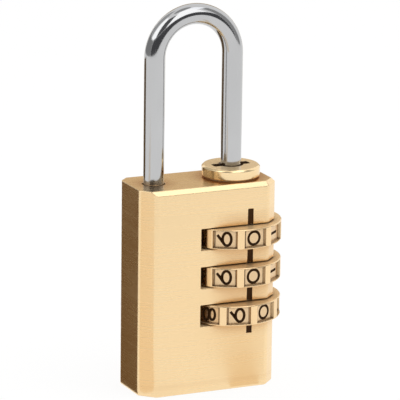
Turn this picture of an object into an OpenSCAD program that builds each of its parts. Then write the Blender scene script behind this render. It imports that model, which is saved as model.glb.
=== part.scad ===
// Three-dial luggage padlock, all sizes in millimetres.
// Origin at the centre of the bottom face, Z up along the shackle legs,
// X to the dial side, the read face looks to minus Y.

/* [Body] */
// width of the body, toe side to dial side
body_w = 21.5; // [21:0.1:23]
// depth of the body, front face to back face
body_d = 10.4; // [10:0.1:11.4]
// height of the body block
body_h = 30.6; // [30.4:0.1:33]
// leg of the facets on the four upright corners
corner_leg = 1.9; // [1:0.1:2.2]
// leg of the bevel around the top, the toe side left sharp
top_leg = 0.6; // [0.3:0.05:0.8]
// depth of the engraved index line
mark_depth = 0.12; // [0.05:0.01:0.2]
// width of the engraved index line
mark_w = 0.8; // [0.5:0.05:1]
// how far the index line stands to the right of the dial axis
mark_offset = 0.9; // [0.5:0.05:1.2]
// length of the index line above the upper window
mark_rise = 2.3; // [1:0.1:3]
// length of the index line below the lower window
mark_fall = 1.65; // [0.5:0.05:2.5]

/* [Shackle] */
// diameter of the round rod
rod_d = 3; // [2.8:0.05:3.05]
// from the dial side of the body to the long leg, which is also the dial axis
heel_inset = 5.65; // [5.45:0.05:5.85]
// from the toe side of the body to the short leg
toe_inset = 3.65; // [3.15:0.05:3.95]
// height of the outside of the bow
bow_top = 56.5; // [50:0.5:60]
// how deep the short leg stands in its hole
toe_depth = 4.2; // [3:0.1:4.3]
// gap around the short leg
toe_gap = 0.2; // [0.1:0.05:0.3]
// free rise of the shackle once the gates line up
lift = 4.6; // [4.4:0.05:4.7]
// reach of the ears from the leg axis
ear_reach = 2.6; // [2.2:0.05:2.65]
// thickness of the ears
ear_t = 1.2; // [0.8:0.05:1.3]
// height of the ears
ear_h = 1.7; // [1.2:0.05:1.75]

/* [Dials] */
// outside radius of the dials over the bars
dial_r = 7.5; // [7.3:0.05:7.7]
// height of one dial
dial_h = 2.96; // [2.8:0.02:3]
// distance from dial to dial
dial_pitch = 5.7; // [5.65:0.05:5.75]
// height of the middle of the upper dial
upper_dial_z = 22.9; // [22.8:0.05:23]
// how far the sunk digit panels lie under the bars
panel_sink = 0.6; // [0.4:0.01:0.7]
// half angle of one digit panel at its flat
panel_half = 12.4; // [11:0.1:13]
// how far the flanks of a bar slope out for each mm of rise
flank = 0.5; // [0.2:0.05:0.6]
// height of the digit panels
panel_h = 2.56; // [2.2:0.04:2.64]
// bevel on the dial rims
rim_leg = 0.1; // [0.06:0.02:0.14]
// angle between straight ahead and the read digit
index_turn = 6; // [0:0.5:8]
// how far the lower dial stands past its click
lower_turn = 17; // [0:1:18]
// gap above and below a dial in its window
dial_gap = 0.12; // [0.08:0.01:0.15]
// gap between a dial and the round wall of its window
window_gap = 1.1; // [0.9:0.05:1.3]

/* [Collar] */
// outside radius of the collar
collar_r = 4.25; // [4:0.05:4.4]
// height of the collar top over the body
collar_h = 1.8; // [1.4:0.05:2.1]
// open joint under the collar
collar_joint = 0.22; // [0.1:0.01:0.35]
// bevel on the top rim of the collar
collar_leg = 0.28; // [0.1:0.02:0.4]
// half length of the slot across the collar
slot_half = 2.85; // [2.75:0.05:3]
// width of the slot across the collar
slot_w = 1.5; // [1.4:0.05:1.6]

/* [Inner parts] */
// radius of the bore for the sleeves
bore_r = 3.45; // [3.4:0.01:3.5]
// radial gap of the running parts
run_gap = 0.05; // [0.03:0.01:0.07]
// radial gap of the parts that are pressed in
press_gap = 0.02; // [0.01:0.01:0.03]
// thickness of a sleeve wall
sleeve_wall = 0.6; // [0.5:0.05:0.65]
// thickness of the gate of a sleeve
gate_h = 1.2; // [1:0.05:1.25]
// height of the key on a sleeve
key_h = 1.1; // [0.8:0.05:1.15]
// width of the key on a sleeve
key_w = 0.9; // [0.6:0.05:1]
// reach of the key past the sleeve wall
key_reach = 0.6; // [0.4:0.05:0.65]
// travel of the sleeves when a new number is set
press = 1.25; // [1.2:0.01:1.3]
// thickness of the spring seat
seat_h = 0.8; // [0.6:0.05:0.85]
// wire of the reset spring
wire_d = 0.5; // [0.4:0.05:0.55]
// turns of the reset spring
turns = 5; // [4:1:6]
// thickness of the retaining clip
clip_t = 0.5; // [0.4:0.05:0.55]
// thickness of the base plug
plug_t = 1; // [0.8:0.05:1.05]
// thickness of the click leaves
leaf_t = 0.2; // [0.15:0.01:0.22]

/* [Hidden] */
brass = "Goldenrod";
steel = "Silver";
$fn = 96;
over = 1;
panels = 10;
step = 360 / panels;
rod_r = rod_d / 2;
heel_x = body_w / 2 - heel_inset;
toe_x = toe_inset - body_w / 2;
window_h = dial_h + 2 * dial_gap;
window_r = dial_r + window_gap;
// direction from the dial axis to the read digit, and to the click leaf
index_dir = -90 + index_turn;
leaf_dir = index_dir + 7 * step;
sleeve_r = bore_r - run_gap;
cavity_r = sleeve_r - sleeve_wall;
leg_hole_r = rod_r + 0.08;
stack_gap = 0.02;
// top of a sleeve over the middle of its dial
sleeve_rise = window_h / 2 + 0.08;
sleeve_h = dial_pitch - stack_gap;
key_top = dial_h / 2 - 0.1;
notch_low = key_top - key_h - 0.1;
key_out = sleeve_r + key_reach;
ear_top = sleeve_rise - gate_h - press - 0.1;
seat_top = dial_z(2) + sleeve_rise - sleeve_h - stack_gap;
seat_low = seat_top - seat_h;
clip_top = seat_low - lift - stack_gap;
clip_low = clip_top - clip_t;
groove_r = 1.12;
clip_r = 2;
heel_end = clip_low - 0.36;
plug_r = bore_r + 0.45;
collar_low = dial_z(0) + sleeve_rise + stack_gap;
collar_roof = collar_low + ear_h + 0.9;
bow_r = (heel_x - toe_x) / 2;
bow_x = (heel_x + toe_x) / 2;
bow_z = bow_top - rod_r - bow_r;
// the leaves press into the sunk panels, between the rims
leaf_h = panel_h - 0.2;
leaf_half = 3;
leaf_near = dial_r - panel_sink + 0.1;
leaf_end = leaf_near + 1;

function dial_z(i) = upper_dial_z - i * dial_pitch;

function dial_turn(i) = i == 2 ? lower_turn : 0;

// a dial that stands between two clicks lifts its leaf onto a bar
function leaf_touch(i) = dial_turn(i) == 0 ? leaf_near : dial_r + 0.02;

function leaf_bow_r(i) = let (rise = leaf_end - leaf_touch(i))
    (leaf_half * leaf_half + rise * rise) / (2 * rise);

// cuts a 45 degree bevel off the top of an upright face
module top_bevel(turn, reach, from, to) {
    cut = 3 * top_leg;
    rotate([0, 0, turn])
        translate([reach - top_leg / 2, from, body_h - top_leg / 2])
            rotate([0, -45, 0])
                translate([0, 0, -cut])
                    cube([2 * cut, to - from, 2 * cut]);
}

module body_block() {
    x = body_w / 2;
    y = body_d / 2;
    c = corner_leg;
    linear_extrude(body_h)
        polygon([[-x, -y + c], [-x + c, -y], [x - c, -y], [x, -y + c],
                 [x, y - c], [x - c, y], [-x + c, y], [-x, y - c]]);
}

module index_line(low, high) {
    translate([heel_x + mark_offset - mark_w / 2, -body_d / 2 - over, low])
        cube([mark_w, over + mark_depth, high - low]);
}

module body() {
    facet = (body_w / 2 + body_d / 2 - corner_leg) / sqrt(2);
    color(brass) difference() {
        body_block();
        top_bevel(-90, body_d / 2, -body_w, body_w);
        top_bevel(90, body_d / 2, -body_w, body_w);
        top_bevel(0, body_w / 2, -body_d, body_d);
        top_bevel(-45, facet, -body_d, body_d);
        top_bevel(45, facet, -body_d, body_d);
        translate([heel_x, 0, -over])
            cylinder(r = bore_r, h = body_h + 2 * over);
        translate([heel_x, 0, -over])
            cylinder(r = plug_r, h = over + plug_t);
        // way in for the keys of the sleeves
        translate([heel_x, 0, 0])
            rotate([0, 0, leaf_dir])
                translate([0, -key_w / 2 - 0.1, plug_t])
                    cube([key_out + 0.1, key_w + 0.2,
                          dial_z(0) - plug_t]);
        translate([toe_x, 0, body_h - toe_depth - stack_gap])
            cylinder(r = rod_r + toe_gap, h = toe_depth + over);
        for (i = [0:2])
            translate([heel_x, 0, dial_z(i)]) {
                cylinder(r = window_r, h = window_h, center = true);
                rotate([0, 0, leaf_dir])
                    translate([dial_r, -leaf_half - 0.06,
                               -leaf_h / 2 - 0.06])
                        cube([leaf_end + leaf_t + 0.02 - dial_r,
                              2 * leaf_half + 0.12, leaf_h + 0.12]);
            }
        index_line(dial_z(0), dial_z(0) + window_h / 2 + mark_rise);
        index_line(dial_z(2), dial_z(0));
        index_line(dial_z(2) - window_h / 2 - mark_fall, dial_z(2));
    }
}

module rod_leg(x, low, high, tip) {
    translate([x, 0, low + tip])
        cylinder(r = rod_r, h = high - low - tip);
    translate([x, 0, low])
        cylinder(r1 = rod_r - tip, r2 = rod_r, h = tip);
}

module ear(i) {
    translate([heel_x, 0, dial_z(i) + ear_top - ear_h])
        intersection() {
            cylinder(r = ear_reach, h = ear_h);
            translate([0, -ear_t / 2, 0])
                cube([ear_reach + over, ear_t, ear_h]);
        }
}

module shackle() {
    color(steel) difference() {
        union() {
            rod_leg(heel_x, heel_end, bow_z, 0.15);
            rod_leg(toe_x, body_h - toe_depth, bow_z, 0.45);
            translate([bow_x, 0, bow_z])
                rotate([90, 0, 0])
                    rotate_extrude(angle = 180)
                        translate([bow_r, 0])
                            circle(r = rod_r);
            for (i = [0:2])
                ear(i);
        }
        translate([heel_x, 0, clip_low - 0.05])
            difference() {
                cylinder(r = rod_r + over, h = clip_t + 0.1);
                cylinder(r = groove_r, h = clip_t + 0.1);
            }
    }
}

module retaining_clip() {
    color(steel)
        translate([heel_x, 0, clip_low])
            rotate([0, 0, 35])
                rotate_extrude(angle = 290)
                    translate([groove_r + 0.03, 0])
                        square([clip_r - groove_r - 0.03, clip_t]);
}

module collar() {
    top = body_h + collar_h;
    neck_r = plug_r - 0.1;
    spigot_r = bore_r - press_gap;
    color(brass)
        translate([heel_x, 0, 0])
            difference() {
                rotate_extrude()
                    polygon([[0, collar_low], [spigot_r, collar_low],
                             [spigot_r, body_h], [neck_r, body_h],
                             [neck_r, body_h + collar_joint],
                             [collar_r - 0.1, body_h + collar_joint],
                             [collar_r, body_h + collar_joint + 0.1],
                             [collar_r, top - collar_leg],
                             [collar_r - collar_leg, top], [0, top]]);
                translate([0, 0, collar_low - over])
                    cylinder(r = rod_r + 0.12, h = top + over);
                translate([0, 0, top - 0.2])
                    cylinder(r1 = rod_r + 0.12, r2 = rod_r + 0.62,
                             h = 0.5);
                translate([0, 0, collar_low - over])
                    cylinder(r = cavity_r,
                             h = collar_roof - collar_low + over);
                intersection() {
                    translate([-slot_half - over, -slot_w / 2,
                               collar_low])
                        cube([2 * slot_half + 2 * over, slot_w, top]);
                    cylinder(r = slot_half, h = top + over);
                }
            }
}

// one dial with its middle at height zero
module dial_form() {
    flat = dial_r - panel_sink;
    half = dial_r * sin(panel_half);
    h = dial_h / 2;
    difference() {
        rotate_extrude()
            polygon([[0, -h], [dial_r - rim_leg, -h],
                     [dial_r, -h + rim_leg], [dial_r, h - rim_leg],
                     [dial_r - rim_leg, h], [0, h]]);
        cylinder(r = bore_r, h = dial_h + over, center = true);
        translate([0, 0, -h - over])
            cylinder(r = key_out + 0.15, h = notch_low + h + over);
        for (k = [0:panels - 1])
            rotate([0, 0, index_dir + k * step]) {
                linear_extrude(panel_h, center = true)
                    polygon([[flat, -half],
                             [flat + over, -half - flank * over],
                             [flat + over, half + flank * over],
                             [flat, half]]);
                translate([0, -key_w / 2 - 0.05, notch_low - 0.5])
                    cube([key_out + 0.08, key_w + 0.1, dial_h]);
            }
    }
}

module dial(i) {
    color(brass)
        translate([heel_x, 0, dial_z(i)])
            rotate([0, 0, dial_turn(i)])
                dial_form();
}

module dial_upper() {
    dial(0);
}

module dial_middle() {
    dial(1);
}

module dial_lower() {
    dial(2);
}

module sleeve(i) {
    color(brass)
        translate([heel_x, 0, dial_z(i)]) {
            difference() {
                union() {
                    translate([0, 0, sleeve_rise - sleeve_h])
                        cylinder(r = sleeve_r, h = sleeve_h);
                    rotate([0, 0, leaf_dir + dial_turn(i)])
                        translate([0, -key_w / 2, key_top - key_h])
                            cube([key_out, key_w, key_h]);
                }
                translate([0, 0, sleeve_rise - sleeve_h - over])
                    cylinder(r = cavity_r, h = sleeve_h - gate_h + over);
                cylinder(r = leg_hole_r, h = sleeve_rise + over);
                intersection() {
                    translate([0, -ear_t / 2 - 0.1, 0])
                        cube([cavity_r, ear_t + 0.2,
                              sleeve_rise + over]);
                    cylinder(r = cavity_r - 0.05,
                             h = sleeve_rise + over);
                }
            }
        }
}

module sleeve_upper() {
    sleeve(0);
}

module sleeve_middle() {
    sleeve(1);
}

module sleeve_lower() {
    sleeve(2);
}

module click_leaf(i) {
    bow = leaf_bow_r(i);
    half = asin(leaf_half / bow);
    color(steel)
        translate([heel_x, 0, dial_z(i) - leaf_h / 2])
            rotate([0, 0, leaf_dir])
                translate([leaf_touch(i) + bow, 0, 0])
                    rotate([0, 0, 180 - half])
                        rotate_extrude(angle = 2 * half)
                            translate([bow - leaf_t, 0])
                                square([leaf_t, leaf_h]);
}

module click_leaf_upper() {
    click_leaf(0);
}

module click_leaf_middle() {
    click_leaf(1);
}

module click_leaf_lower() {
    click_leaf(2);
}

module spring_seat() {
    color(brass)
        translate([heel_x, 0, seat_low])
            difference() {
                cylinder(r = sleeve_r, h = seat_h);
                translate([0, 0, -over])
                    cylinder(r = leg_hole_r, h = seat_h + 2 * over);
            }
}

// height of the spring wire at a share of its length, closed at both ends
function coil_z(t) = let (w = wire_d / 2, span = seat_low - plug_t,
                          rise = span - 3.1 * wire_d,
                          n = t * turns,
                          a = min(n, 1), b = max(0, n - turns + 1),
                          m = max(0, min(n, turns - 1) - 1))
    w + plug_t + (a + b) * wire_d * 1.05 + m / (turns - 2) * rise;

module reset_spring() {
    r = wire_d / 2;
    mid = bore_r - 0.2 - wire_d / 2 - 0.2;
    sides = 10;
    cuts = 24 * turns;
    rings = [for (j = [0:cuts])
                 for (k = [0:sides - 1])
                     let (a = 360 * turns * j / cuts,
                          b = 360 * k / sides,
                          q = mid + r * cos(b))
                     [q * cos(a), q * sin(a),
                      coil_z(j / cuts) + r * sin(b)]];
    skin = [for (j = [0:cuts - 1])
                for (k = [0:sides - 1])
                    let (n = (k + 1) % sides)
                    [j * sides + k, (j + 1) * sides + k,
                     (j + 1) * sides + n, j * sides + n]];
    first = [for (k = [0:sides - 1]) k];
    last = [for (k = [0:sides - 1]) cuts * sides + sides - 1 - k];
    color(steel)
        translate([heel_x, 0, 0])
            polyhedron(points = rings,
                       faces = concat(skin, [first], [last]),
                       convexity = 10);
}

module base_plug() {
    color(brass)
        translate([heel_x, 0, 0])
            rotate_extrude()
                polygon([[0, 0], [plug_r - press_gap - 0.15, 0],
                         [plug_r - press_gap, 0.15],
                         [plug_r - press_gap, plug_t], [0, plug_t]]);
}

body();
shackle();
retaining_clip();
collar();
dial_upper();
dial_middle();
dial_lower();
sleeve_upper();
sleeve_middle();
sleeve_lower();
click_leaf_upper();
click_leaf_middle();
click_leaf_lower();
spring_seat();
reset_spring();
base_plug();
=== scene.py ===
import math

import bmesh
import bpy
from mathutils import Matrix, Vector


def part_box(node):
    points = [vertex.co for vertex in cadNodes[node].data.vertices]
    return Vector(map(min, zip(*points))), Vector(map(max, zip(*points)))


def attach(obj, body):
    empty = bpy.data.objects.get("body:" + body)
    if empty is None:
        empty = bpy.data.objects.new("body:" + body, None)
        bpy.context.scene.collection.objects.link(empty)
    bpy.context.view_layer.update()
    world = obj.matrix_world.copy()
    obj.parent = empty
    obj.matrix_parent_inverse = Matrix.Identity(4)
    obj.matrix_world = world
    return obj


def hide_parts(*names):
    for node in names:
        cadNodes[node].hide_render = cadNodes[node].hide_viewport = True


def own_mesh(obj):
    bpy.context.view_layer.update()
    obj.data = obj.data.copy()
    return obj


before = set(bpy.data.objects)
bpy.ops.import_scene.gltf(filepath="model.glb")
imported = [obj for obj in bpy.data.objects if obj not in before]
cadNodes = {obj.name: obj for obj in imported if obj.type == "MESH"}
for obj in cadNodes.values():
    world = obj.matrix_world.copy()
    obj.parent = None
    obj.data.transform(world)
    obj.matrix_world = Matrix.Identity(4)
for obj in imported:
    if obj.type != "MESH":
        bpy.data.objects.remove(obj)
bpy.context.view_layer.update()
mm = 0.001
axisX = 5.1 * mm    # the long leg, sleeves, dials and collar all stand on this upright line
print("frame loaded, parts:", len(cadNodes))


# ---- camera

cameraSettings = {
    "azimuth": -24.514,         # degrees round the lock, 0 looks at the front face
    "elevation": 14.718,        # degrees above the floor
    "roll": 0.743,              # degrees
    "distance": 522.367,        # mm from the point looked at
    "lookAt": (0.0, 0.0, 25.0),  # mm
    "focal": 3606.674,          # pixels of a 400 pixel wide picture
    "centre": (198.056, 216.354),
    "picture": 400,
    "sensor": 36.0,
}


def makeCamera(s):
    a, e, roll = (math.radians(s[k]) for k in ("azimuth", "elevation", "roll"))
    back = Vector((math.sin(a) * math.cos(e), -math.cos(a) * math.cos(e), math.sin(e)))
    side = Vector((math.cos(a), math.sin(a), 0))
    up = back.cross(side)
    right = side * math.cos(roll) + up * math.sin(roll)
    top = up * math.cos(roll) - side * math.sin(roll)
    data = bpy.data.cameras.new("camera")
    data.sensor_width = s["sensor"]
    data.lens = s["focal"] / s["picture"] * s["sensor"]
    data.shift_x = (s["picture"] / 2 - s["centre"][0]) / s["picture"]
    data.shift_y = (s["centre"][1] - s["picture"] / 2) / s["picture"]
    data.clip_start, data.clip_end = 0.01, 20
    camera = bpy.data.objects.new("camera", data)
    bpy.context.scene.collection.objects.link(camera)
    place = (Vector(s["lookAt"]) + back * s["distance"]) * mm
    turn = Matrix((right, top, back)).transposed().to_4x4()
    camera.matrix_world = Matrix.Translation(place) @ turn
    bpy.context.scene.camera = camera


makeCamera(cameraSettings)
print("camera ready")


# ---- material trees

def plug(tree, slot, value):
    if isinstance(value, Wire):
        tree.links.new(value.socket, slot)
    elif isinstance(value, (tuple, list)) and len(slot.default_value) == 4 and len(value) == 3:
        slot.default_value = (*value, 1)
    else:
        slot.default_value = value


class Wire:
    # one output in a material tree, sums on it add Math nodes
    def __init__(self, tree, socket):
        self.tree = tree
        self.socket = socket

    def sums(self, operation, first, second):
        node = self.tree.nodes.new("ShaderNodeMath")
        node.operation = operation
        plug(self.tree, node.inputs[0], first)
        plug(self.tree, node.inputs[1], second)
        return Wire(self.tree, node.outputs[0])

    def __add__(self, other):
        return self.sums("ADD", self, other)

    def __radd__(self, other):
        return self.sums("ADD", other, self)

    def __sub__(self, other):
        return self.sums("SUBTRACT", self, other)

    def __rsub__(self, other):
        return self.sums("SUBTRACT", other, self)

    def __mul__(self, other):
        return self.sums("MULTIPLY", self, other)

    def __rmul__(self, other):
        return self.sums("MULTIPLY", other, self)

    def __gt__(self, other):
        return self.sums("GREATER_THAN", self, other)


class Finish:
    # a new material, or a tree that is there already, whose nodes are all made by node()
    def __init__(self, name, tree=None):
        if tree is None:
            self.material = bpy.data.materials.new(name)
            self.material.use_nodes = True
            tree = self.material.node_tree
        self.tree = tree
        self.tree.nodes.clear()

    def node(self, kind, settings=None, values=None, out=0):
        made = self.tree.nodes.new(kind)
        for key, value in (settings or {}).items():
            setattr(made, key, value)
        for key, value in (values or {}).items():
            plug(self.tree, made.inputs[key], value)
        return Wire(self.tree, made.outputs[out]) if made.outputs else None

    def split(self, vector, axis):
        return self.node("ShaderNodeSeparateXYZ", {}, {0: vector}, out=axis)

    def fraction(self, value):
        return self.node("ShaderNodeMath", {"operation": "FRACT"}, {0: value})

    def ramp(self, value, start, end, low=0.0, high=1.0):
        return self.node("ShaderNodeMapRange", {}, {"Value": value, "From Min": start, "From Max": end,
                                                   "To Min": low, "To Max": high})

    def lying(self, limit):
        # 1 on faces that look up or down
        normal = self.node("ShaderNodeTexCoord", out="Normal")
        tilt = self.node("ShaderNodeVectorMath", {"operation": "ABSOLUTE"}, {0: normal})
        return self.split(tilt, "Z") > limit

    def mix(self, factor, first, second):
        return self.node("ShaderNodeMix", {"data_type": "RGBA", "clamp_factor": True},
                         {0: factor, 6: first, 7: second}, out=2)

    def place(self, stretch, shift=(0, 0, 0)):
        # object coordinates in mm from a centre, stretched per axis
        spot = self.node("ShaderNodeTexCoord", out="Object")
        spot = self.node("ShaderNodeMapping", {"vector_type": "POINT"},
                         {"Vector": spot, "Scale": (1 / mm,) * 3, "Location": tuple(-c for c in shift)})
        return self.node("ShaderNodeVectorMath", {"operation": "MULTIPLY"}, {0: spot, 1: stretch})

    def noise(self, spot, scale=1.0, detail=2.0, rough=0.5):
        return self.node("ShaderNodeTexNoise", {"noise_dimensions": "3D"},
                         {"Vector": spot, "Scale": scale, "Detail": detail, "Roughness": rough})

    def edges(self, width):
        # near 1 on outer and inner edges, 0 on plain faces
        soft = self.node("ShaderNodeBevel", {"samples": 6}, {"Radius": width * mm})
        plain = self.node("ShaderNodeNewGeometry", out="Normal")
        along = self.node("ShaderNodeVectorMath", {"operation": "DOT_PRODUCT"}, {0: soft, 1: plain}, out="Value")
        return self.ramp(along, 0.998, 0.93)

    def hollow(self, reach, local=True):
        # near 1 deep in corners and grooves, and with local off beside other parts too
        openness = self.node("ShaderNodeAmbientOcclusion", {"samples": 6, "only_local": local},
                             {"Distance": reach * mm}, out="AO")
        return 1 - openness

    def finish(self, values, bump=None):
        if bump:
            height, strength, depth = bump
            values["Normal"] = self.node("ShaderNodeBump", {}, {"Height": height, "Strength": strength,
                                                               "Distance": depth * mm})
        shader = self.node("ShaderNodeBsdfPrincipled", {}, values)
        self.node("ShaderNodeOutputMaterial", {}, {"Surface": shader})
        return self.material


# pale and deep are each brass's own tones, the third colour is grime and painted shade for corners, hollows and the
# dark beside other parts
brassLook = {
    "body": {"pale": (1.0, 0.765, 0.45), "deep": (0.94, 0.66, 0.355), "grimeAndShade": (0.20, 0.095, 0.03)},
    "dial": {"pale": (1.0, 0.745, 0.445), "deep": (0.90, 0.62, 0.32), "grimeAndShade": (0.085, 0.035, 0.010)},
    "collar": {"pale": (1.0, 0.78, 0.47), "deep": (0.92, 0.66, 0.35), "grimeAndShade": (0.09, 0.04, 0.012)},
    "inner": {"pale": (0.84, 0.60, 0.30), "deep": (0.66, 0.42, 0.18), "grimeAndShade": (0.10, 0.05, 0.02)},
    "flankTone": {"pale": (0.80, 0.58, 0.33), "deep": (0.62, 0.42, 0.22), "grimeAndShade": (0.10, 0.045, 0.015)},
    # the slot look is a painted shadow, for the walls deep in the collar's bore
    "slot": {"pale": (0.16, 0.085, 0.035), "deep": (0.09, 0.045, 0.018), "grimeAndShade": (0.05, 0.02, 0.006)},
    "milled": {"pale": (0.96, 0.72, 0.42), "deep": (0.80, 0.56, 0.29), "grimeAndShade": (0.42, 0.26, 0.11)},
}


# the shade that lies on the body below each dial, heights in mm
dialShade = {
    "reach": 2.6,
    "strength": 2.9,
    "colour": (0.66, 0.38, 0.17),
    "pitch": 5.7,
    "barFoot": 7.4,             # where a bar of brass between two windows starts
    "barShare": 0.44,           # its height as a share of the pitch
    "leastShare": 0.15,         # what is left of the shade at its foot
    "floorFree": (0.8, 3.6),    # the shade fades in between these heights, so the floor gives none
}


def drawnBrass(name, look, polish=0.27, reach=0.5):
    # brass rubbed level on every upright face and along X on the lying ones
    f = Finish(name)
    tone = brassLook[look]
    lying = f.lying(0.85)

    def rubbed(along, across):
        upright = f.place((along, along, across))
        flat = f.place((along, across, along))
        return f.node("ShaderNodeMix", {"data_type": "VECTOR"}, {0: lying, 4: upright, 5: flat}, out=1)

    fine = f.noise(rubbed(0.05, 9.0), detail=2)
    broad = f.noise(rubbed(0.03, 1.5), detail=2)
    cloud = f.noise(f.place((0.10, 0.10, 0.08)), detail=2)
    streak = fine * 0.45 + broad * 0.55
    wornAndHighlit = f.edges(0.16)
    colour = f.mix(0.42 + 0.5 * streak + 0.45 * (cloud - 0.4), tone["deep"], tone["pale"])
    # edges turn lighter, partly worn brass and partly a painted highlight
    colour = f.mix(wornAndHighlit * 0.4, colour, (1.0, 0.87, 0.62))
    # grime and painted shade deep in corners
    colour = f.mix(f.hollow(reach) * 0.75, colour, tone["grimeAndShade"])
    # painted shade on the body below each dial, from the nearness of the dials and other parts
    d = dialShade
    height = f.split(f.place((1, 1, 1)), "Z")
    offFloor = f.ramp(height, *d["floorFree"])
    share = f.fraction((height - d["barFoot"]) * (1 / d["pitch"]))
    under = f.ramp(share, 0, d["barShare"], d["leastShare"], 1)
    under = under.sums("MAXIMUM", under, lying)
    colour = f.mix(f.hollow(d["reach"], local=False) * d["strength"] * offFloor * under, colour, d["colour"])
    rough = polish + 0.14 * (streak - 0.5) + 0.08 * (cloud - 0.5) - 0.05 * wornAndHighlit
    return f.finish({"Base Color": colour, "Metallic": 1.0, "Roughness": rough},
                    bump=(fine, 0.10, 0.008))


panelLook = {
    "panels": 10,
    "barRadius": 7.3,               # mm, what lies nearer the axis is a sunk panel
    "colour": (0.80, 0.57, 0.34),
    "stripLeft": 0.322,              # shares of a step from a panel's middle to the darker strips at its sides
    "stripRight": 0.336,
    "filmColour": (0.97, 0.72, 0.41),
    "windowReach": 2.0,             # mm, how far a window's walls darken a dial
    "windowShade": (0.30, 0.52, 0.0, 0.8),
}


def turnedBrass(name, look, polish=0.2, reach=0.3, metal=1.0, film=0.0, dialTurn=None):
    # brass turned in a lathe, its fine rings run round the upright axis,
    # film is how dull its lying faces are, dialTurn where one of a dial's panels stands
    f = Finish(name)
    tone, s = brassLook[look], panelLook
    spot = f.place((1, 1, 1), (axisX / mm, 0, 0))
    flat = f.node("ShaderNodeVectorMath", {"operation": "MULTIPLY"}, {0: spot, 1: (1, 1, 0)})
    radius = f.node("ShaderNodeVectorMath", {"operation": "LENGTH"}, {0: flat}, out="Value")
    rings = f.node("ShaderNodeCombineXYZ", {}, {"X": radius * 9.0, "Z": f.split(spot, "Z") * 9.0})
    drift = f.place((0.12, 0.12, 0.0))
    fine = f.noise(f.node("ShaderNodeVectorMath", {"operation": "ADD"}, {0: rings, 1: drift}), detail=3)
    cloud = f.noise(f.place((0.5, 0.5, 0.5)), detail=2)
    wornAndHighlit = f.edges(0.09)
    lying = f.lying(0.9)
    colour = f.mix(0.42 + 0.7 * (fine - 0.2) + 0.5 * (cloud - 0.5), tone["deep"], tone["pale"])
    colour = f.mix(lying * film, colour, s["filmColour"])
    rough = polish + 0.14 * (fine - 0.5) + 0.1 * (cloud - 0.5) - 0.05 * wornAndHighlit
    if dialTurn is None:
        # grime and painted shade in corners, and painted shade beside other parts
        cornerGrimeAndShade = f.hollow(reach) * 1.7
        shaded = f.hollow(1.3, local=False) * 0.3
    else:
        # the sunk panels are duller than the bars and darker in strips at their sides,
        # with grime and painted shade in corners, and painted shade darkens what stands inside its window
        upright = 1 - lying
        sunk = (s["barRadius"] - radius > 0) * upright
        turn = f.node("ShaderNodeMath", {"operation": "ARCTAN2"}, {0: f.split(spot, "Y"), 1: f.split(spot, "X")})
        steps = (turn - dialTurn) * (s["panels"] / (2 * math.pi))
        aside = f.fraction(steps + 2 * s["panels"] + 0.5) - 0.5
        darkStrips = (aside > s["stripRight"]) + (0 - aside > s["stripLeft"])
        colour = f.mix(sunk * 0.75, colour, s["colour"])
        colour = f.mix(darkStrips * sunk * 0.8, colour, tone["grimeAndShade"])
        rough = rough + 0.2 * lying + 0.08 * sunk
        cornerGrimeAndShade = f.hollow(0.2) * 0.5 * upright
        shaded = f.ramp(f.hollow(s["windowReach"], local=False), *s["windowShade"])
    # edges turn lighter, partly worn brass and partly a painted highlight
    colour = f.mix(wornAndHighlit * 0.35, colour, (1.0, 0.88, 0.68))
    # then grime and painted shade in corners, then painted shade near other parts and inside the windows
    colour = f.mix(cornerGrimeAndShade, colour, tone["grimeAndShade"])
    colour = f.mix(shaded, colour, tone["grimeAndShade"])
    return f.finish({"Base Color": colour, "Metallic": metal - film * lying, "Roughness": rough},
                    bump=(fine, 0.16, 0.008))


def darkPaint(name):
    # the brown paint run into the digits and the index line
    f = Finish(name)
    speck = f.noise(f.place((7, 7, 7)), detail=3)
    pool = f.noise(f.place((1.2, 1.2, 1.2)), detail=1)
    colour = f.mix(speck * 0.8 + pool * 0.3, (0.032, 0.012, 0.002), (0.070, 0.028, 0.005))
    return f.finish({"Base Color": colour, "Roughness": 0.5 + 0.25 * speck, "Specular IOR Level": 0.12},
                    bump=(speck, 0.3, 0.02))


def chromedSteel(name):
    # bright plated rod with a faint orange peel and handling marks
    f = Finish(name)
    peel = f.noise(f.place((1.6, 1.6, 1.6)), detail=1)
    marks = f.noise(f.place((3.0, 3.0, 0.35)), detail=4, rough=0.62)
    film = f.noise(f.place((0.22, 0.22, 0.16)), detail=2)
    colour = f.mix(film, (0.50, 0.502, 0.507), (0.565, 0.567, 0.572))
    rough = 0.08 + 0.07 * (marks * marks) + 0.03 * film
    height = peel * 0.6 + marks * 0.12
    return f.finish({"Base Color": colour, "Metallic": 1.0, "Roughness": rough}, bump=(height, 0.12, 0.02))


def springSteel(name):
    f = Finish(name)
    grain = f.noise(f.place((5, 5, 1.2)), detail=3)
    stain = f.noise(f.place((0.9, 0.9, 0.9)), detail=2)
    colour = f.mix(grain * 0.6 + stain * 0.4, (0.30, 0.29, 0.27), (0.56, 0.55, 0.53))
    return f.finish({"Base Color": colour, "Metallic": 1.0, "Roughness": 0.26 + 0.2 * grain},
                    bump=(grain, 0.2, 0.01))


bodyBrass = drawnBrass("rubbedBodyBrass", "body")
plugBrass = turnedBrass("turnedPlugBrass", "body", polish=0.3)
dialBrass = turnedBrass("turnedDialBrass", "dial", film=0.5, dialTurn=math.radians(-84))
lowerDialBrass = turnedBrass("turnedLowerDialBrass", "dial", film=0.5, dialTurn=math.radians(-67))
milledBrass = turnedBrass("milledDarkBrass", "milled", polish=0.5, metal=0.15)
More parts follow.
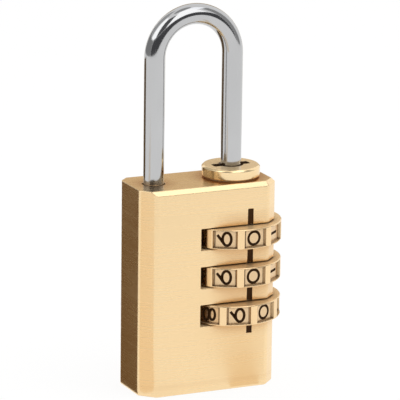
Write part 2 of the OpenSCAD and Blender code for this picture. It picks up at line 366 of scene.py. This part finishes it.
# darker brass for the sloping flanks of the dial's ribs
darkFlankBrass = turnedBrass("darkerFlankBrass", "flankTone", polish=0.45)
collarBrass = turnedBrass("turnedCollarBrass", "collar", polish=0.17, film=0.6)
slotShadowBrass = turnedBrass("paintedShadowSlotBrass", "slot", polish=0.5, metal=0.3)
innerBrass = turnedBrass("turnedInnerBrass", "inner", polish=0.3)
inlayPaint = darkPaint("brownInlayPaint")
chrome = chromedSteel("chromedSteel")
steel = springSteel("springSteel")
print("materials ready")


# ---- mesh helpers

def newObject(name, mesh):
    made = bpy.data.objects.new(name, mesh)
    bpy.context.scene.collection.objects.link(made)
    return made


def mergedCopy(nodeName, name, *materials, weight=None):
    # a CAD part's mesh with its triangles joined and its flat faces made whole,
    # weight gives each edge its share of the rounding
    mesh = bpy.data.meshes.new(name)
    bm = bmesh.new()
    bm.from_mesh(cadNodes[nodeName].data)
    bmesh.ops.remove_doubles(bm, verts=bm.verts, dist=0.0005 * mm)
    bmesh.ops.dissolve_limit(bm, angle_limit=math.radians(0.4), verts=bm.verts, edges=bm.edges,
                             use_dissolve_boundaries=False, delimit={"NORMAL"})
    for face in bm.faces:
        face.smooth = True
        face.material_index = 0
    if weight:
        share = bm.edges.layers.float.new("bevel_weight_edge")
        for edge in bm.edges:
            edge[share] = weight(edge)
    bm.to_mesh(mesh)
    bm.free()
    for material in materials:
        mesh.materials.append(material)
    return newObject(name, mesh)


def roundEdges(piece, width, segments=2, angle=28, weighted=False):
    bevel = piece.modifiers.new("edges", "BEVEL")
    bevel.limit_method, bevel.angle_limit = "WEIGHT" if weighted else "ANGLE", math.radians(angle)
    bevel.width, bevel.segments = width * mm, segments
    bevel.use_clamp_overlap = False
    bevel.harden_normals = False
    bevel.miter_outer = "MITER_ARC"


def weighNormals(piece):
    weigh = piece.modifiers.new("normals", "WEIGHTED_NORMAL")
    weigh.mode, weigh.weight, weigh.keep_sharp = "FACE_AREA_WITH_ANGLE", 60, False


def bakeModifiers(piece):
    # the evaluated shape as a plain mesh
    graph = bpy.context.evaluated_depsgraph_get()
    done = bpy.data.meshes.new_from_object(piece.evaluated_get(graph), depsgraph=graph)
    piece.modifiers.clear()
    old, piece.data = piece.data, done
    bpy.data.meshes.remove(old)
    return piece


# ---- body

bodySettings = {
    "edge": 0.10,             # mm, rounding of the windows, bores and the top
    "uprightEdge": 0.42,      # mm, rounding of the four corners
    "footEdge": 0.24,         # mm, rounding round the bottom
    "markX": (5.6, 6.4),      # mm, index line from left to right
    "markDepth": 0.12,        # mm
    "skin": 0.35,             # mm, how far in a face counts as the inside
    "facets": 14.05,          # mm, x and y together on a corner facet
}


def makeBody(s):
    low, high = (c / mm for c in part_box("body"))
    widest = s["uprightEdge"]

    def outer(c):
        c = c / mm
        return abs(c.x) + abs(c.y) > s["facets"] - 0.01 or abs(c.x) > high.x - 0.01 or abs(c.y) > high.y - 0.01

    def weight(edge):
        if len(edge.link_faces) != 2 or edge.calc_face_angle(0) < math.radians(28):
            return 0
        first, second = (v.co for v in edge.verts)
        if outer(first) and outer(second):
            if (first - second).xy.length < 0.01 * mm and abs(first.x) > (high.x - 2.1) * mm:
                return 1
            if max(first.z, second.z) < (low.z + 0.01) * mm:
                return s["footEdge"] / widest
        return s["edge"] / widest

    piece = mergedCopy("body", "caseBlock", bodyBrass, inlayPaint, milledBrass, weight=weight)
    left, right = s["markX"]
    for face in piece.data.polygons:
        corners = [piece.data.vertices[i].co / mm for i in face.vertices]
        middle = sum(corners, Vector()) / len(corners)
        inMark = all(left - 0.004 < c.x < right + 0.004 and c.y < low.y + s["markDepth"] + 0.004 for c in corners)
        if inMark and any(c.y > low.y + 0.004 for c in corners):
            face.material_index = 1
        elif (max(abs(middle.x) - high.x, abs(middle.y) - high.y, abs(middle.x) + abs(middle.y) - s["facets"])
              < -s["skin"] and low.z + s["skin"] < middle.z < high.z - s["skin"]):
            face.material_index = 2
    roundEdges(piece, widest, segments=3, weighted=True)
    weighNormals(piece)
    return piece


caseBlock = makeBody(bodySettings)
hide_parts("body")
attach(caseBlock, "case")
print("body ready")


# ---- collar

collarSettings = {"edge": 0.06, "jointTop": 30.84, "slotReach": 3.0}   # mm

collarRing = mergedCopy("collar", "collarRing", collarBrass, milledBrass, slotShadowBrass)
# the bore and slot walls take a painted shadow, the faces below the joint the milled brass
for face in collarRing.data.polygons:
    inward = (face.center.xy - Vector((axisX, 0))).length < collarSettings["slotReach"] * mm
    if inward and abs(face.normal.z) < 0.9:
        face.material_index = 2
    elif face.center.z < collarSettings["jointTop"] * mm:
        face.material_index = 1
roundEdges(collarRing, collarSettings["edge"])
weighNormals(collarRing)
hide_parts("collar")
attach(collarRing, "case")
print("collar ready")


# ---- dials with engraved numbers

dialSettings = {
    "heights": {"upper": 22.9, "middle": 17.2, "lower": 11.5},  # mm
    "turns": {"upper": 0.0, "middle": 0.0, "lower": 17.0},      # degrees past the click
    "firstNumber": -84.0,     # degrees, where the 0 stands
    "numbers": 10,
    "panelRadius": 6.9,       # mm from the axis to a number's flat
    "stroke": 0.215,          # mm, half width of the cutter
    "edge": 0.04,             # mm
}


def arc(centreX, centreY, radiusX, radiusY, start, end, count=14):
    turns = [math.radians(start + (end - start) * i / count) for i in range(count + 1)]
    return [(centreX + radiusX * math.cos(t), centreY + radiusY * math.sin(t)) for t in turns]


# centre lines of the cutter in mm, x to the right and y up as the number is read
nine = [(arc(0, 0.22, 0.95, 0.63, 0, 360, 28)[:-1], True),
        ([(0.84, -0.08), (0.5, -0.36), (0.12, -0.62), (-0.6, -1.18)], False)]
numberShapes = [
    [(arc(0, -0.06, 0.965, 0.93, 0, 360, 32)[:-1], True)],
    [([(0, -0.98), (0, 0.98)], False)],
    [(arc(0, 0.42, 0.76, 0.56, 165, -38) + [(-0.8, -0.98), (0.82, -0.98)], False)],
    [(arc(0, 0.49, 0.68, 0.49, 155, -90), False), (arc(0, -0.47, 0.8, 0.51, 90, -155), False)],
    [([(0.36, -0.98), (0.36, 0.98), (-0.86, -0.36), (0.84, -0.36)], False)],
    [([(0.7, 0.98), (-0.55, 0.98), (-0.66, 0.16)] + arc(0, -0.32, 0.82, 0.66, 128, -150), False)],
    [([(-x, -y) for x, y in stroke], closed) for stroke, closed in nine],
    [([(-0.8, 0.98), (0.8, 0.98), (-0.22, -0.98)], False)],
    [(arc(0, 0.49, 0.8, 0.43, 0, 360, 24)[:-1], True), (arc(0, -0.45, 0.88, 0.47, 0, 360, 24)[:-1], True)],
    nine,
]


def numberCollection():
    # each number as a curve lying in the YZ plane, its top towards +Y
    group = bpy.data.collections.new("numberCutters")
    for value, strokes in enumerate(numberShapes):
        curve = bpy.data.curves.new(f"cutter{value}", "CURVE")
        curve.dimensions = "3D"
        for points, closed in strokes:
            spline = curve.splines.new("POLY")
            spline.points.add(len(points) - 1)
            spline.use_cyclic_u = closed
            for point, (x, y) in zip(spline.points, points):
                point.co = (0, y * mm, -x * mm, 1)
        group.objects.link(bpy.data.objects.new(f"cutter{value}", curve))
    return group


def engravingTree():
    tree = bpy.data.node_groups.new("engraveNumbers", "GeometryNodeTree")
    face = tree.interface
    face.new_socket("Geometry", in_out="OUTPUT", socket_type="NodeSocketGeometry")
    face.new_socket("Geometry", in_out="INPUT", socket_type="NodeSocketGeometry")
    kinds = {"Cutters": "Collection", "Numbers": "Int", "Panel Radius": "Float", "Axis X": "Float",
             "Height": "Float", "First Angle": "Float", "Stroke": "Float", "Paint": "Material"}
    for name, kind in kinds.items():
        face.new_socket(name, in_out="INPUT", socket_type="NodeSocket" + kind)

    def add(kind, settings=None, values=None):
        made = tree.nodes.new(kind)
        for key, value in (settings or {}).items():
            setattr(made, key, value)
        for key, value in (values or {}).items():
            if isinstance(value, bpy.types.NodeSocket):
                tree.links.new(value, made.inputs[key])
            else:
                made.inputs[key].default_value = value
        return made

    def sums(operation, first, second):
        return add("ShaderNodeMath", {"operation": operation}, {0: first, 1: second}).outputs[0]

    inputs = add("NodeGroupInput").outputs
    index = add("GeometryNodeInputIndex").outputs[0]
    step = sums("DIVIDE", 2 * math.pi, inputs["Numbers"])
    angle = sums("ADD", inputs["First Angle"], sums("MULTIPLY", index, step))
    reach = inputs["Panel Radius"]
    spotX = sums("ADD", inputs["Axis X"], sums("MULTIPLY", reach, sums("COSINE", angle, 0)))
    spotY = sums("MULTIPLY", reach, sums("SINE", angle, 0))
    spot = add("ShaderNodeCombineXYZ", {}, {"X": spotX, "Y": spotY, "Z": inputs["Height"]}).outputs[0]
    turn = add("ShaderNodeCombineXYZ", {}, {"Z": angle}).outputs[0]
    points = add("GeometryNodePoints", {}, {"Count": inputs["Numbers"], "Position": spot}).outputs[0]
    cutters = add("GeometryNodeCollectionInfo", {"transform_space": "ORIGINAL"},
                  {"Collection": inputs["Cutters"], "Separate Children": True, "Reset Children": True}).outputs[0]
    placed = add("GeometryNodeInstanceOnPoints", {}, {"Points": points, "Instance": cutters, "Pick Instance": True,
                                                      "Instance Index": index, "Rotation": turn}).outputs[0]
    lines = add("GeometryNodeRealizeInstances", {}, {"Geometry": placed}).outputs[0]
    profile = add("GeometryNodeCurvePrimitiveCircle", {}, {"Resolution": 10, "Radius": inputs["Stroke"]}).outputs[0]
    strokes = add("GeometryNodeCurveToMesh", {},
                  {"Curve": lines, "Profile Curve": profile, "Fill Caps": True}).outputs[0]
    marked = add("GeometryNodeStoreNamedAttribute", {"data_type": "BOOLEAN", "domain": "FACE"},
                 {"Geometry": strokes, "Name": "engraved", "Value": True}).outputs[0]
    cut = add("GeometryNodeMeshBoolean", {"operation": "DIFFERENCE", "solver": "EXACT"},
              {"Mesh 1": inputs["Geometry"], "Mesh 2": marked, "Self Intersection": True}).outputs[0]
    engraved = add("GeometryNodeInputNamedAttribute", {"data_type": "BOOLEAN"}, {"Name": "engraved"}).outputs[0]
    real = add("GeometryNodeRealizeInstances", {}, {"Geometry": cut}).outputs[0]
    painted = add("GeometryNodeSetMaterial", {}, {"Geometry": real, "Selection": engraved,
                                                 "Material": inputs["Paint"]}).outputs[0]
    add("NodeGroupOutput", {}, {"Geometry": painted})
    return tree


def setInputs(modifier, values):
    for item in modifier.node_group.interface.items_tree:
        if item.item_type == "SOCKET" and item.in_out == "INPUT" and item.name in values:
            modifier[item.identifier] = values[item.name]


def makeDial(place, s, cutters, tree):
    turned = lowerDialBrass if s["turns"][place] else dialBrass
    piece = mergedCopy("dial_" + place, place + "Dial", turned, darkFlankBrass)
    for face in piece.data.polygons:
        out = Vector((face.center.x - axisX, face.center.y, 0))
        sloping = abs(face.normal.z) < 0.1 and 0.2 < face.normal.dot(out.normalized()) < 0.8
        face.material_index = int(sloping and out.length > s["panelRadius"] * mm)   # the flanks of the ribs
    roundEdges(piece, s["edge"], segments=1)
    engrave = piece.modifiers.new("numbers", "NODES")
    engrave.node_group = tree
    setInputs(engrave, {
        "Cutters": cutters, "Numbers": s["numbers"], "Panel Radius": s["panelRadius"] * mm, "Axis X": axisX,
        "Height": s["heights"][place] * mm, "First Angle": math.radians(s["firstNumber"] + s["turns"][place]),
        "Stroke": s["stroke"] * mm, "Paint": inlayPaint})
    bakeModifiers(piece)
    weighNormals(piece)
    return piece


cutters = numberCollection()
engraving = engravingTree()
for place in dialSettings["heights"]:
    dial = makeDial(place, dialSettings, cutters, engraving)
    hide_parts("dial_" + place)
    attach(dial, "dial_" + place)
    print(place, "dial ready,", len(dial.data.polygons), "faces")


# ---- shackle

shackleSettings = {
    "rod": 1.5,               # mm, radius
    "heelX": 5.1,
    "toeX": -7.1,
    "heelEnd": 1.2,
    "toeEnd": 26.4,
    "top": 56.5,
    "heelTip": 0.15,          # mm, bevel at the end of the long leg
    "toeTip": 0.45,
    "groove": (1.51, 2.11, 1.12),   # mm, from, to, radius under the clip
    "earTops": (22.03, 16.33, 10.63),
    "earSize": (2.6, 1.2, 1.7),     # mm, reach from the leg axis, thickness, height
    "sides": 64,
    "bowSteps": 72,
}


def makeShackle(s):
    rod, heelX, toeX = s["rod"], s["heelX"], s["toeX"]
    bowR = (heelX - toeX) / 2
    bowX, bowZ = (heelX + toeX) / 2, s["top"] - rod - bowR
    low, high, neck = s["groove"]
    rings = [(heelX, s["heelEnd"], 90, rod - s["heelTip"]), (heelX, s["heelEnd"] + s["heelTip"], 90, rod),
             (heelX, low, 90, rod), (heelX, low, 90, neck), (heelX, high, 90, neck), (heelX, high, 90, rod)]
    rings += [(heelX, high + (bowZ - high) * i / 24, 90, rod) for i in range(1, 24)]
    for i in range(s["bowSteps"] + 1):
        turn = 180 * i / s["bowSteps"]
        rings.append((bowX + bowR * math.cos(math.radians(turn)),
                      bowZ + bowR * math.sin(math.radians(turn)), 90 + turn, rod))
    foot = s["toeEnd"] + s["toeTip"]
    rings += [(toeX, bowZ + (foot - bowZ) * i / 12, 270, rod) for i in range(1, 13)]
    rings.append((toeX, s["toeEnd"], 270, rod - s["toeTip"]))
    bm = bmesh.new()
    loops = []
    for x, z, heading, radius in rings:
        out = Vector((math.sin(math.radians(heading)), 0, -math.cos(math.radians(heading))))
        turns = [2 * math.pi * k / s["sides"] for k in range(s["sides"])]
        rim = [out * math.cos(t) + Vector((0, 1, 0)) * math.sin(t) for t in turns]
        loops.append([bm.verts.new((Vector((x, 0, z)) + radius * c) * mm) for c in rim])
    for first, second in zip(loops, loops[1:]):
        for k in range(s["sides"]):
            n = (k + 1) % s["sides"]
            bm.faces.new((first[k], first[n], second[n], second[k]))
    bm.faces.new(list(reversed(loops[0])))
    bm.faces.new(loops[-1])
    reach, thick, tall = s["earSize"]
    swing = math.asin(thick / 2 / reach)
    edge = [(0, -thick / 2)] + [(reach * math.cos(a), reach * math.sin(a))
                                for a in (swing * (i / 4 - 1) for i in range(9))] + [(0, thick / 2)]
    for top in s["earTops"]:
        upper = [bm.verts.new(Vector((heelX + x, y, top)) * mm) for x, y in edge]
        lower = [bm.verts.new(Vector((heelX + x, y, top - tall)) * mm) for x, y in edge]
        bm.faces.new(upper)
        bm.faces.new(list(reversed(lower)))
        for k in range(len(edge)):
            n = (k + 1) % len(edge)
            bm.faces.new((lower[k], lower[n], upper[n], upper[k]))
    bmesh.ops.recalc_face_normals(bm, faces=bm.faces)
    for face in bm.faces:
        face.smooth = True
    mesh = bpy.data.meshes.new("shackleRod")
    bm.to_mesh(mesh)
    bm.free()
    mesh.set_sharp_from_angle(angle=math.radians(35))
    mesh.materials.append(chrome)
    return newObject("shackleRod", mesh)


shackleRod = makeShackle(shackleSettings)
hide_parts("shackle")
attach(shackleRod, "shackle")
print("shackle ready")


# ---- parts that keep their CAD shape

plainFinishes = {
    "base_plug": plugBrass,
    "sleeve_upper": innerBrass, "sleeve_middle": innerBrass, "sleeve_lower": innerBrass, "spring_seat": innerBrass,
    "retaining_clip": steel, "click_leaf_upper": steel, "click_leaf_middle": steel, "click_leaf_lower": steel,
}
for nodeName, finish in plainFinishes.items():
    for slot in cadNodes[nodeName].material_slots:
        slot.material = finish

# the reset spring as a copy of its own, in spring steel
resetCoil = newObject("resetCoil", cadNodes["reset_spring"].data.copy())
resetCoil.data.materials.clear()
resetCoil.data.materials.append(steel)
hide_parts("reset_spring")
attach(resetCoil, "case")
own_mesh(resetCoil)
print("inner parts ready")


# ---- studio

studioSettings = {
    "floor": 1.6,                 # m across
    "floorColour": (0.93, 0.93, 0.925),
    "floorGlow": 0.85,            # share of the floor's own white where the camera or a mirror looks
    "worldLevel": 0.78,           # light on the object and the floor
    "softboxLevel": 1.5,          # radiance of the overhead box
    "softboxSize": 0.26,          # m
    "softboxPlace": (0.16, -0.12, 0.42),
    "cardReach": 0.5,             # m from the lock to the cards round it
    # cards and boxes that only the metal reflects: azimuth from X, elevation, colour
    "cards": {
        "boxRight": ((252, 306), (30, 76), (1.75, 1.75, 1.75)),
        "boxRightTop": ((306, 345), (54, 76), (1.62, 1.64, 1.70)),
        "boxLeft": ((160, 207), (27, 66), (1.75, 1.75, 1.75)),
        "darkFront": ((196, 318), (0, 28), (0.085, 0.085, 0.09)),
        "darkGap": ((208, 251), (29, 64), (0.12, 0.12, 0.125)),
        "greyRight": ((319, 352), (0, 57), (0.36, 0.36, 0.36)),
        "greyLeft": ((104, 195), (0, 26), (0.30, 0.30, 0.30)),
        "greyBack": ((102, 150), (27, 66), (0.50, 0.50, 0.50)),
        "greyTop": ((0, 360), (77, 90), (0.42, 0.42, 0.42)),
    },
    # dark cards close to the lock: colour, then corners in mm
    "nearCards": {
        "darkFloor": ((0.145, 0.094, 0.050), [(-10.9, -3.2, 0.2), (-10.9, 230, 0.2), (-270, 230, 0.2), (-70, 50, 0.2)]),
        "paleShade": ((0.87, 0.76, 0.63), [(3.2, -5.4, 0.2), (7.8, -5.4, 0.2), (22, -36, 0.2), (15.5, -36, 0.2)]),
        "warmFloor": ((0.90, 0.80, 0.68), [(-10.9, -4.4, 0.2), (-100, 10, 0.2), (-150, -40, 0.2), (-150, -80, 0.2),
                                           (-12, -12, 0.2)]),
        "warmWall": ((0.56, 0.46, 0.33), [(5, 150, 0), (120, 120, 0), (120, 120, 130), (5, 150, 130)]),
    },
}


def seenWhite(f):
    # 1 for what the camera, mirrors and glass see, 0 for what lights the object
    path = f.node("ShaderNodeLightPath", out="Is Camera Ray")
    glossy = f.node("ShaderNodeLightPath", out="Is Glossy Ray")
    through = f.node("ShaderNodeLightPath", out="Is Transmission Ray")
    return path.sums("MINIMUM", path + glossy + through, 1)


def makeCard(name, colour, spots, faces):
    f = Finish(name)
    glow = f.node("ShaderNodeEmission", {}, {"Color": colour, "Strength": 1.0})
    f.node("ShaderNodeOutputMaterial", {}, {"Surface": glow})
    mesh = bpy.data.meshes.new(name)
    mesh.from_pydata(spots, [], faces)
    mesh.materials.append(f.material)
    card = newObject(name, mesh)
    card.visible_camera = card.visible_diffuse = card.visible_shadow = card.visible_transmission = False


def makeStudio(s):
    world = bpy.data.worlds.new("studio")
    bpy.context.scene.world = world
    world.use_nodes = True
    f = Finish("studio", world.node_tree)
    level = seenWhite(f) * (1 - s["worldLevel"]) + s["worldLevel"]
    light = f.node("ShaderNodeBackground", {}, {"Color": (1, 1, 1), "Strength": level})
    f.node("ShaderNodeOutputWorld", {}, {"Surface": light})

    f = Finish("paleFloor")
    glow = f.node("ShaderNodeEmission", {}, {"Color": (1, 1, 1), "Strength": 1.04})
    matt = f.node("ShaderNodeBsdfDiffuse", {}, {"Color": s["floorColour"]})
    both = f.node("ShaderNodeMixShader", {}, {0: seenWhite(f) * s["floorGlow"], 1: matt, 2: glow})
    f.node("ShaderNodeOutputMaterial", {}, {"Surface": both})
    half = s["floor"] / 2
    mesh = bpy.data.meshes.new("floor")
    mesh.from_pydata([(-half, -half, 0), (half, -half, 0), (half, half, 0), (-half, half, 0)], [], [(0, 1, 2, 3)])
    mesh.materials.append(f.material)
    floor = newObject("floor", mesh)
    floor.location.z = -0.02 * mm

    for name, (colour, corners) in s["nearCards"].items():
        makeCard(name, colour, [tuple(c * mm for c in corner) for corner in corners], [tuple(range(len(corners)))])
    for name, (around, above, colour) in s["cards"].items():
        spots, faces, steps = [], [], 12
        for i in range(steps + 1):
            turn = math.radians(around[0] + (around[1] - around[0]) * i / steps)
            for j in range(steps + 1):
                rise = math.radians(above[0] + (above[1] - above[0]) * j / steps)
                spots.append(tuple(s["cardReach"] * c for c in (math.cos(turn) * math.cos(rise),
                                                                math.sin(turn) * math.cos(rise), math.sin(rise))))
        for i in range(steps):
            for j in range(steps):
                k = i * (steps + 1) + j
                faces.append((k, k + 1, k + steps + 2, k + steps + 1))
        makeCard(name, colour, spots, faces)

    data = bpy.data.lights.new("softbox", "AREA")
    data.shape, data.size = "SQUARE", s["softboxSize"]
    data.energy = s["softboxLevel"] * math.pi * s["softboxSize"] ** 2
    box = bpy.data.objects.new("softbox", data)
    box.visible_glossy = False
    bpy.context.scene.collection.objects.link(box)
    place = Vector(s["softboxPlace"])
    aim = (Vector((0, 0, 0.02)) - place).to_track_quat("-Z", "Y")
    box.matrix_world = Matrix.Translation(place) @ aim.to_matrix().to_4x4()


makeStudio(studioSettings)
bpy.context.scene.view_settings.view_transform = "Standard"
print("studio ready")
